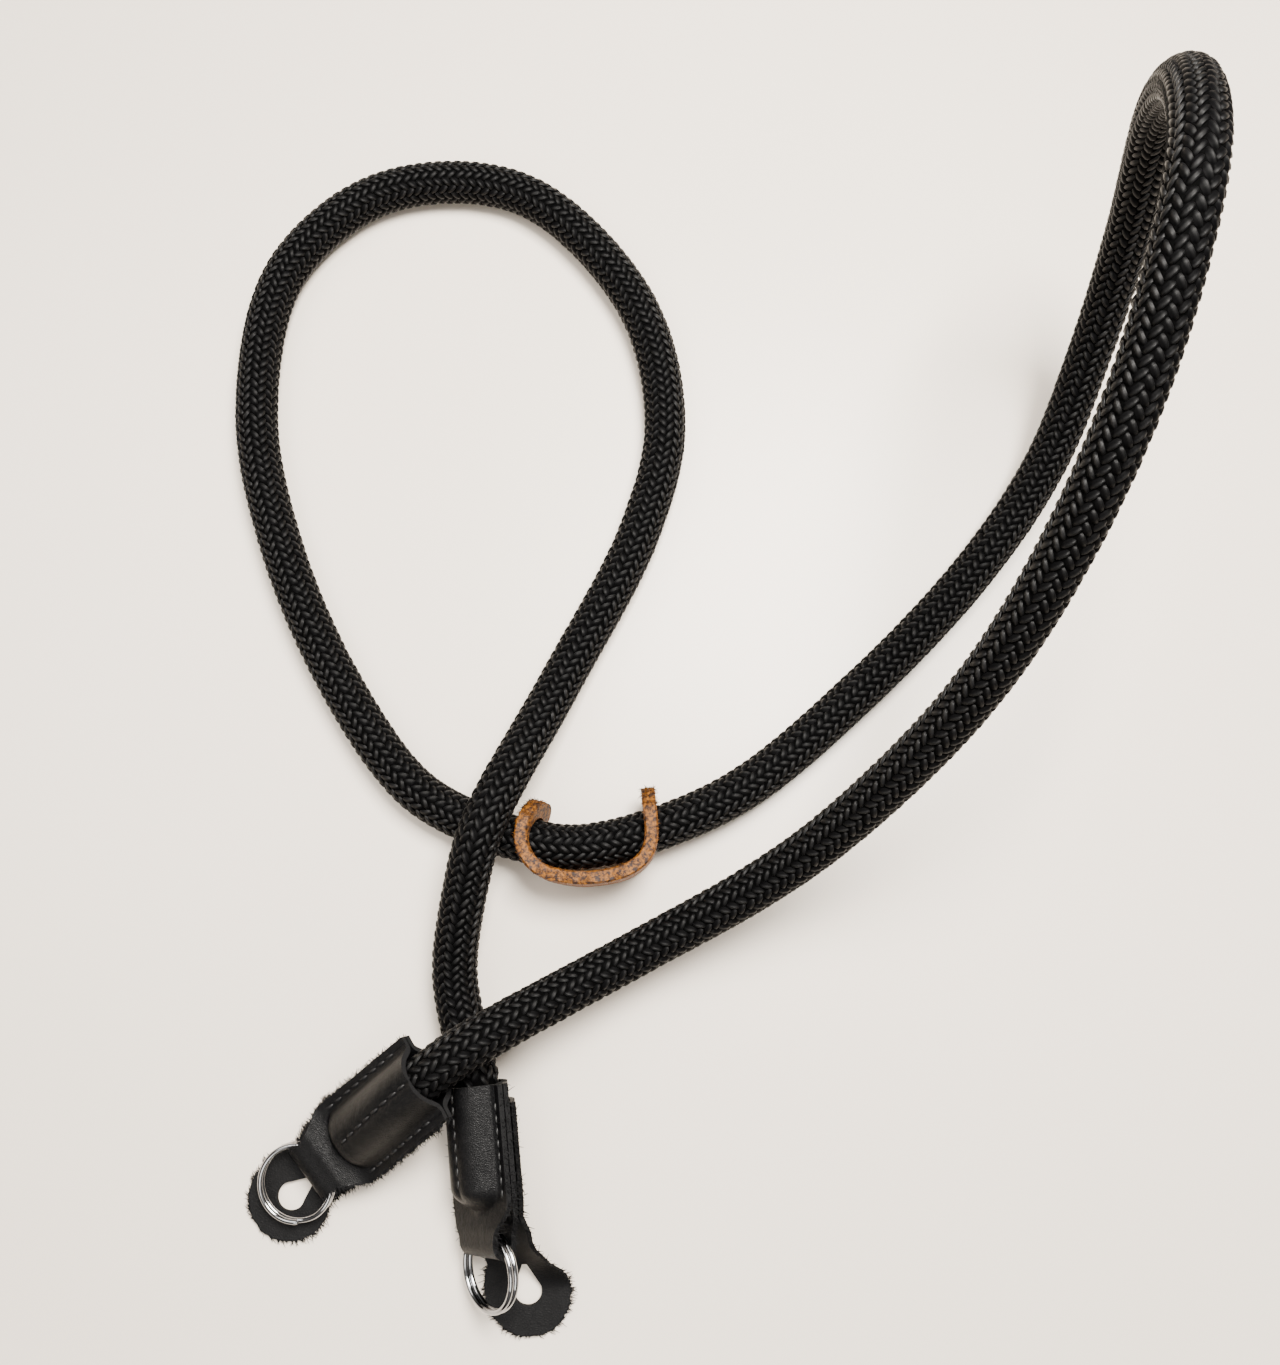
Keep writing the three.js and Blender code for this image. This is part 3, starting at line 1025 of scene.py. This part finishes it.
def fibres(name: str, outer: Points, inner: Points, count: int, seed: int,
           reach: float) -> Piece:
    """Loose fibres along the cut edges of a leather layer.

    Args:
        name: Name of the piece.
        outer: Grid of its outer face.
        inner: Grid of its inner face.
        count: How many fibres.
        seed: Seed of their places.
        reach: Length of the longest.

    Returns:
        The joined fibres.
    """
    shortest, lowest, radii = 0.25, 0.08, (0.1, 0.075, 0.03)
    rng = np.random.default_rng(seed)
    points: list[Points] = []
    faces: list[Face] = []
    rows = outer.shape[0]
    for _ in range(count):
        r = int(rng.integers(0, rows - 1))
        c = 0 if rng.random() < 0.5 else -1
        t, level = rng.random(), rng.random()
        here = (1 - level) * outer[r, c] + level * inner[r, c]
        there = (1 - level) * outer[r + 1, c] + level * inner[r + 1, c]
        foot = (1 - t) * here + t * there
        away = outer[r, c] - outer[r, 1 if c == 0 else -2]
        away /= np.linalg.norm(away) + 1e-9
        away = away + rng.normal(0, 0.45, 3)
        away /= np.linalg.norm(away)
        size = shortest + (reach - shortest) * rng.random() ** 2.2
        bend = rng.normal(0, 0.15, 3)
        line = [foot - 0.1 * away, foot + 0.5 * size * away, foot + size * away + size * bend]
        if min(p[2] for p in line) < lowest:
            continue
        add_bar(points, faces, line, radii, 3)
    piece = make_object(name, np.array(points), faces, 80)
    mark(piece, "edge", np.full(len(piece.data.polygons), 0.5), "FACE")
    return piece


@dataclass
class SplitRing:
    """Two flat turns of wire joined by a step."""

    name: str
    end: End
    body: Body
    turn: float
    radius: float = 8.5
    wire: float = 0.575
    rise: float = 0.62
    step: float = 24.0
    ahead: float = 2.6

    def build(self, material: Finish) -> Piece:
        """Make the ring.

        Args:
            material: Its plating.

        Returns:
            The object.
        """
        centre = self.end.point(-self.ahead, 0, 0)
        along = self.end.point(-self.ahead + 1, 0, 0) - centre
        along /= np.linalg.norm(along)
        across = self.end.point(-self.ahead, 1, 0) - centre
        axis = np.cross(across, along)
        middle = self.radius - self.wire
        sides, steps = 16, 200
        points: list[Points] = []
        for i in range(steps + 1):
            degrees = self.step + (720 - 2 * self.step) * i / steps
            swing = clamp((degrees - 360) / self.step, -1.0)
            turn = math.radians(degrees + self.turn)
            out = across * math.cos(turn) + along * math.sin(turn)
            centre_line = centre + out * middle + axis * self.rise * math.sin(swing * math.pi / 2)
            size = self.wire * (0.8 if i in (0, steps) else 1.0)
            for k in range(sides):
                tilt = 2 * math.pi * k / sides
                points.append(centre_line + size * (math.cos(tilt) * out + math.sin(tilt) * axis))
        faces: list[Face] = list(grid_faces(steps + 1, sides, 0, True))
        faces += [tuple(range(sides))[::-1], tuple(range(steps * sides, (steps + 1) * sides))]
        piece = make_object(f"split_ring_{self.name}", np.array(points), faces, 50)
        return settle(piece, self.body, material, (f"ring_{self.name}",))


def carve(piece: Piece, tool: Piece) -> None:
    """Cut one object out of another, and delete the tool.

    Args:
        piece: The object that is cut.
        tool: The shape taken out of it.
    """
    modifier = piece.modifiers.new("cut", "BOOLEAN")
    modifier.operation = "DIFFERENCE"
    modifier.solver = "EXACT"
    modifier.object = tool
    shown = piece.evaluated_get(bpy.context.evaluated_depsgraph_get())
    mesh = bpy.data.meshes.new_from_object(shown)
    piece.modifiers.clear()
    piece.data = mesh
    bpy.data.objects.remove(tool)
    mesh.shade_smooth()
    mesh.set_sharp_from_angle(angle=math.radians(35))


def edge_by_normal(piece: Piece, rule: Callable[[Points, Points], bool]) -> None:
    """Mark the faces on the cut edge, by a rule on their middle and normal.

    Args:
        piece: The object.
        rule: Says whether a face is on the cut edge.
    """
    if "edge" in piece.data.attributes:
        piece.data.attributes.remove(piece.data.attributes["edge"])
    flags = [1.0 if rule(np.array(p.center), np.array(p.normal)) else 0.0 for p in piece.data.polygons]
    mark(piece, "edge", np.array(flags), "FACE")


@dataclass
class Guard:
    """Third leather layer under a tab, running on past the ring to a round end with a hole."""

    name: str
    end: End
    hole: float
    lie: tuple[Row, ...]
    end_radius: float = 9.1
    hole_radius: float = 3.0
    slit: float = 6.0
    slit_half: float = 0.5
    neck: float = 7.0

    def build(self, leather: Finish) -> list[Piece]:
        """Make the guard and its loose fibres.

        Args:
            leather: Its leather.

        Returns:
            The pieces.
        """
        outer, inner = self.face(LEATHER), self.face(0.0)
        points, faces, _ = sheet(outer, inner)
        piece = make_object(f"guard_leather_{self.name}", points, faces)
        middle = self.free(self.hole, 0.0, 0.6, (0.0,))[0]
        carve(piece, self.punch(middle))
        edge_by_normal(piece, lambda c, n: abs(n[2]) < 0.35 and c[2] < 3 * MM)
        settle(piece, Body.STRAP, leather, (f"guard_{self.name}",))
        fuzz = fibres(f"guard_fibres_{self.name}", outer, inner, 1500, 23, 1.7)
        settle(fuzz, Body.STRAP, leather)
        return [piece, fuzz]

    def punch(self, middle: Points) -> Piece:
        """Drop-shaped punch for the hole.

        Args:
            middle: Its centre.

        Returns:
            The tool.
        """
        side = math.acos(self.hole_radius / self.slit) * 0.9
        turn = np.linspace(side, 2 * math.pi - side, 44)
        drop = [(self.hole_radius * math.cos(t), self.hole_radius * math.sin(t)) for t in turn]
        drop += [(self.slit, -self.slit_half), (self.slit, self.slit_half)]
        head = math.radians(self.end.heading)
        cos, sin = math.cos(head), math.sin(head)
        ring = np.array([(x * cos - y * sin, x * sin + y * cos, 0) for x, y in drop])
        count = len(ring)
        points = np.concatenate([middle + ring - (0, 0, 4), middle + ring + (0, 0, 4)])
        faces: list[Face] = list(grid_faces(2, count, 0, True))
        faces += [tuple(range(count))[::-1], tuple(range(count, 2 * count))]
        return make_object("punch", points, faces)

    def face(self, offset: float) -> Points:
        """Grid of one face.

        Args:
            offset: Distance down from the top face.

        Returns:
            The points.
        """
        across = np.linspace(-1, 1, 25)
        rows = [self.under(a, offset, across) for a in np.linspace(TAB_LENGTH - 4, 8, 20)]
        neck = math.asin(self.neck / self.end_radius)
        start = self.hole + self.end_radius * math.cos(neck)
        outline = ((8.0, 8.0), (4.5, 8.0), ((4.5 + start) / 2, self.neck + 0.2), (start, self.neck))
        table = tuple(sorted((a, h) for a, h in outline))
        for a in np.linspace(5.5, start, 10)[:-1]:
            rows.append(self.free(a, smooth(table, 1, a), offset, across))
        for i in range(29):
            turn = neck + (math.pi - 0.06 - neck) * math.sin(i / 28 * math.pi / 2)
            along, half = self.hole + self.end_radius * math.cos(turn), self.end_radius * math.sin(turn)
            rows.append(self.free(along, half, offset, across))
        return np.array(rows)

    def under(self, along: float, offset: float, across: Sequence[float]) -> list[Points]:
        """One row of the layer under the tab.

        Args:
            along: Place along the tab.
            offset: Distance down from the top face.
            across: Shares of the half width.

        Returns:
            The points.
        """
        half = smooth(TAB_ROWS, 1, along)
        part = max(THINNEST_PART, smooth(TAB_ROWS, 2, along))
        bulge = clamp(smooth(TAB_ROWS, 3, along + 1))
        depth = bulge * (ROPE_RADIUS + 1.5 * GAP)
        top = part + LEATHER + 1.5 * GAP + offset
        return [self.end.point(along, s * half, -(top + depth * max(0.0, 1 - s * s) ** 1.6)) for s in across]

    def free(self, along: float, half: float, offset: float, across: Sequence[float]) -> list[Points]:
        """One row of the layer past the tab.

        Args:
            along: Place along the tab's line.
            half: Half width there.
            offset: Distance down from the top face.
            across: Shares of the half width.

        Returns:
            The points.
        """
        turn = math.radians(self.end.heading)
        roll = math.radians(max(0.0, smooth(self.lie, 3, along)))
        lift = max(smooth(self.lie, 2, along), half * math.sin(roll))
        right = np.array((math.sin(turn), -math.cos(turn), 0.0))
        up = np.array((0.0, 0.0, 1.0))
        v = right * math.cos(roll) + up * math.sin(roll)
        w = up * math.cos(roll) - right * math.sin(roll)
        x, y = self.end.fold
        base = np.array((x + math.cos(turn) * along, y + math.sin(turn) * along, lift))
        base = base + right * smooth(self.lie, 1, along) + w * (LEATHER - offset)
        return [base + v * s * half for s in across]


# Lie of each guard: distance from the fold, shift to the right, height, roll
LEFT_GUARD_LIE: tuple[Row, ...] = (
    (-15.4, 1.4, 0, 0), (-6.3, 1.4, 0, 0), (-3, 1, 0, 0), (0.5, 0.4, 0.1, 0), (4.5, 0, 0.4, 0.5),
)
RIGHT_GUARD_LIE: tuple[Row, ...] = (
    (-18.4, 7, 0, 0), (-9.3, 6.6, 0, 0), (-6, 6.2, 1.1, 7), (-2.5, 5.2, 2.9, 23), (1, 4, 4.7, 39), (4.5, 3.8, 5.9, 46),
)


@dataclass
class Keeper:
    """Thick tan strip on edge, bent into a U, with the rope through both arms."""

    path: tuple[Row, ...] = (
        (-30.2, -22.6), (-32, -30), (-31.2, -34.6), (-28.4, -38), (-24.3, -39.7), (-18, -40.4), (-11, -39.4),
        (-6.9, -37.5), (-4.3, -34.6), (-3.5, -30), (-4.3, -20.2),
    )
    thick: float = 3.0
    lean: float = 17.0
    lean_run: float = 14.0
    half_height: float = 7.6
    foot: float = 0.35
    bore: float = 5.5
    edge_round: float = 0.45
    fibre_count: int = 3000

    def build(self, rope: Points, material: Finish) -> Piece:
        """Make the strip and cut the rope's two holes in it.

        Args:
            rope: Centre line of the rope.
            material: Its leather.

        Returns:
            The object.
        """
        raw = np.array(self.path, float)
        knots = np.arange(len(raw), dtype=float)
        fine = np.linspace(0, len(raw) - 1, 400)
        rows = [tuple([k, *p]) for k, p in zip(knots, raw)]
        track = np.array([[smooth(rows, 1, t), smooth(rows, 2, t)] for t in fine])
        length = np.concatenate([[0], np.cumsum(np.linalg.norm(np.diff(track, axis=0), axis=1))])
        ends = 0.5 * (1 - np.cos(np.linspace(0, math.pi, 15)))
        tip = self.half_height * 0.55
        places = np.concatenate([ends[1:8] * self.half_height, np.linspace(tip, length[-1] - tip, 60),
                                 length[-1] - ends[1:8][::-1] * self.half_height])
        places = np.unique(np.clip(places, 0.12, length[-1] - 0.12))
        section = self.section()
        points: list[Points] = []
        rng = np.random.default_rng(5)
        for place in places:
            x, y = (np.interp(place, length, track[:, i]) for i in (0, 1))
            after, before = ([np.interp(place + step, length, track[:, i]) for i in (0, 1)] for step in (0.3, -0.3))
            ahead = np.array(after) - np.array(before)
            ahead /= np.linalg.norm(ahead)
            short = max(0.0, 1 - min(place, length[-1] - place) / self.half_height)
            half = self.half_height * math.sqrt(max(1 - short * short, 0.002))
            slope = math.tan(math.radians(self.lean * max(0.0, 1 - place / self.lean_run)))
            for out, level in section:
                z = self.foot + self.half_height + level * half
                shift = out - slope * (self.foot + 2 * self.half_height - z)
                shift += rng.normal(0, 0.07) if level > 0.9 else 0.0
                rise = rng.normal(0, 0.09) if level > 0.9 else 0.0
                points.append(np.array((x + ahead[1] * shift, y - ahead[0] * shift, z + rise)))
        count = len(section)
        faces: list[Face] = list(grid_faces(len(places), count, 0, True))
        faces += [tuple(range(count))[::-1], tuple(range(len(points) - count, len(points)))]
        piece = make_object("keeper_strip", np.array(points), faces, 50)
        near = [i for i, p in enumerate(rope) if -50 < p[0] < 16 and -42 < p[1] < -14 and p[2] < 11]
        run = rope[min(near):max(near):4]
        tool_points: list[Points] = []
        tool_faces: list[Face] = []
        add_bar(tool_points, tool_faces, list(run), self.bore, 40)
        carve(piece, make_object("bore", np.array(tool_points), tool_faces))
        edge_by_normal(piece, lambda c, n: abs(n[2]) > 0.5
                       or (c[0] < -26 * MM and n[0] > 0.5 and n[2] > 0.03))
        settle(piece, Body.STRAP, material, ("keeper",))
        grid = np.array(points).reshape(len(places), count, 3)
        fuzz = self.fuzz(grid)
        settle(fuzz, Body.STRAP, material)
        return piece

    def fuzz(self, grid: Points) -> Piece:
        """Loose fibres on the raw upper edge and the torn tips.

        Args:
            grid: Points of the strip's sections.

        Returns:
            The joined fibres.
        """
        rng = np.random.default_rng(31)
        points: list[Points] = []
        faces: list[Face] = []
        last = len(grid) - 1
        for _ in range(self.fibre_count):
            tip = rng.random() < 0.3
            if tip:
                i = int(rng.choice([rng.integers(0, 7), rng.integers(last - 7, last)]))
            else:
                i = int(rng.integers(0, last))
            share, place = rng.random(), rng.random()
            a = (1 - place) * grid[i, 5] + place * grid[i, 8]
            b = (1 - place) * grid[i + 1, 5] + place * grid[i + 1, 8]
            foot = (1 - share) * a + share * b
            across = grid[i, 8] - grid[i, 5]
            away = across / np.linalg.norm(across) * (place - 0.5) * 2.4 + np.array((0, 0, 0.7))
            away = away + rng.normal(0, 0.45, 3)
            away /= np.linalg.norm(away)
            size = (0.2 + 0.5 * rng.random() ** 2) * (1.8 if tip else 1.0)
            end = foot + size * (away + rng.normal(0, 0.2, 3))
            add_bar(points, faces, [foot - 0.15 * away, foot + 0.5 * size * away, end], (0.07, 0.055, 0.02), 3)
        piece = make_object("keeper_fibres", np.array(points), faces, 80)
        mark(piece, "edge", np.full(len(piece.data.polygons), 1.0), "FACE")
        return piece

    def section(self) -> list[tuple[float, float]]:
        """Rounded section of the strip.

        Returns:
            Distance out and share of the half height of each point.
        """
        half, soft = self.thick / 2, self.edge_round
        rim = soft / self.half_height
        wall = (-1 + 2 * rim, -0.5, 0.0, 0.5, 1 - 2 * rim)
        lip = 1 - 0.6 * rim
        top = [(-half + 0.3 * soft, lip), (-half + soft, 1), (half - soft, 1), (half - 0.3 * soft, lip)]
        foot = [(half - soft, -1), (-half + soft, -1)]
        return [*((-half, level) for level in wall), *top, *((half, level) for level in reversed(wall)), *foot]


@dataclass
class Studio:
    """Table, lights and camera."""

    camera_place: tuple[float, float, float] = (-0.006, -0.05184, 0.295)
    camera_tilt: float = 11.0
    focal_px: float = 1283.0
    image_long_px: float = 1365.0
    sensor: float = 36.0
    table_half: float = 900.0
    lamp_colour: Colour = (1.0, 0.96, 0.905)
    sky_colour: Colour = (1.0, 0.965, 0.92, 1)

    def build(self, finishes: Finishes) -> None:
        """Make the table, the lights and the camera.

        Args:
            finishes: The finishes.
        """
        corners = [(x * self.table_half, y * self.table_half, 0) for x, y in ((-1, -1), (1, -1), (1, 1), (-1, 1))]
        floor = make_object("table_top", np.array(corners, float), [(0, 1, 2, 3)])
        floor.data.materials.append(finishes.table())
        data = bpy.data.cameras.new("camera")
        data.sensor_width = self.sensor
        data.lens = self.focal_px / self.image_long_px * self.sensor
        data.clip_start = 0.01
        camera = bpy.data.objects.new("camera", data)
        camera.location = self.camera_place
        camera.rotation_euler = (math.radians(self.camera_tilt), 0, 0)
        bpy.context.scene.collection.objects.link(camera)
        bpy.context.scene.camera = camera
        self.lamp("key", (0.1, 0.16, 0.52), 0.24, 12.5)
        self.lamp("fill", (-0.34, 0.12, 0.56), 0.4, 2.6)
        self.lamp("front", (-0.1, -0.42, 0.6), 0.4, 2.0)
        world = bpy.data.worlds.new("studio")
        world.use_nodes = True
        nodes, links = world.node_tree.nodes, world.node_tree.links
        back = nodes["Background"]
        back.inputs["Color"].default_value = self.sky_colour
        split = nodes.new("ShaderNodeSeparateXYZ")
        links.new(nodes.new("ShaderNodeTexCoord").outputs["Generated"], split.inputs[0])
        rise = nodes.new("ShaderNodeMapRange")
        for key, value in (("From Min", 0.1), ("From Max", 0.95), ("To Min", 0.04), ("To Max", 0.42)):
            rise.inputs[key].default_value = value
        links.new(split.outputs["Z"], rise.inputs["Value"])
        links.new(rise.outputs["Result"], back.inputs["Strength"])
        bpy.context.scene.world = world

    def lamp(self, name: str, place: tuple[float, float, float], size: float, power: float) -> None:
        """Square soft lamp aimed at the strap.

        Args:
            name: Name of the lamp.
            place: Where it stands.
            size: Its side in metres.
            power: Its power in watts.
        """
        data = bpy.data.lights.new(name, "AREA")
        data.energy = power
        data.color = self.lamp_colour
        data.size = size
        lamp = bpy.data.objects.new(name, data)
        lamp.location = place
        aim = np.array(place)
        lean = math.atan2(math.hypot(aim[0], aim[1]), aim[2])
        lamp.rotation_euler = (lean, 0, math.atan2(aim[1], aim[0]) + math.pi / 2)
        bpy.context.scene.collection.objects.link(lamp)


def main() -> None:
    """Build every piece in order."""
    logging.basicConfig(level=logging.INFO)
    finishes = Finishes()
    Studio().build(finishes)
    rope = Rope()
    rope.build(finishes)
    leather = finishes.leather("black_leather", 2600.0, (0.0009, 0.0009, 0.0011), (0.0026, 0.0026, 0.003),
                               edge=(0.009, 0.009, 0.0095), roughness=0.42)
    suede = finishes.leather("black_guard", 2000.0, (0.001, 0.001, 0.0012), (0.0034, 0.0034, 0.0038),
                             edge=(0.005, 0.005, 0.0053), roughness=0.55)
    for name, end in (("left", LEFT), ("right", RIGHT)):
        Tab(name, end).build(finishes, leather)
    chrome = finishes.chrome()
    SplitRing("left", LEFT, Body.RING_LEFT, 350).build(chrome)
    SplitRing("right", RIGHT, Body.RING_RIGHT, 90).build(chrome)
    Guard("left", LEFT, -6.3, LEFT_GUARD_LIE).build(suede)
    Guard("right", RIGHT, -9.3, RIGHT_GUARD_LIE).build(suede)
    Keeper().build(rope.line(), finishes.tan())


if __name__ == "__main__":
    main()
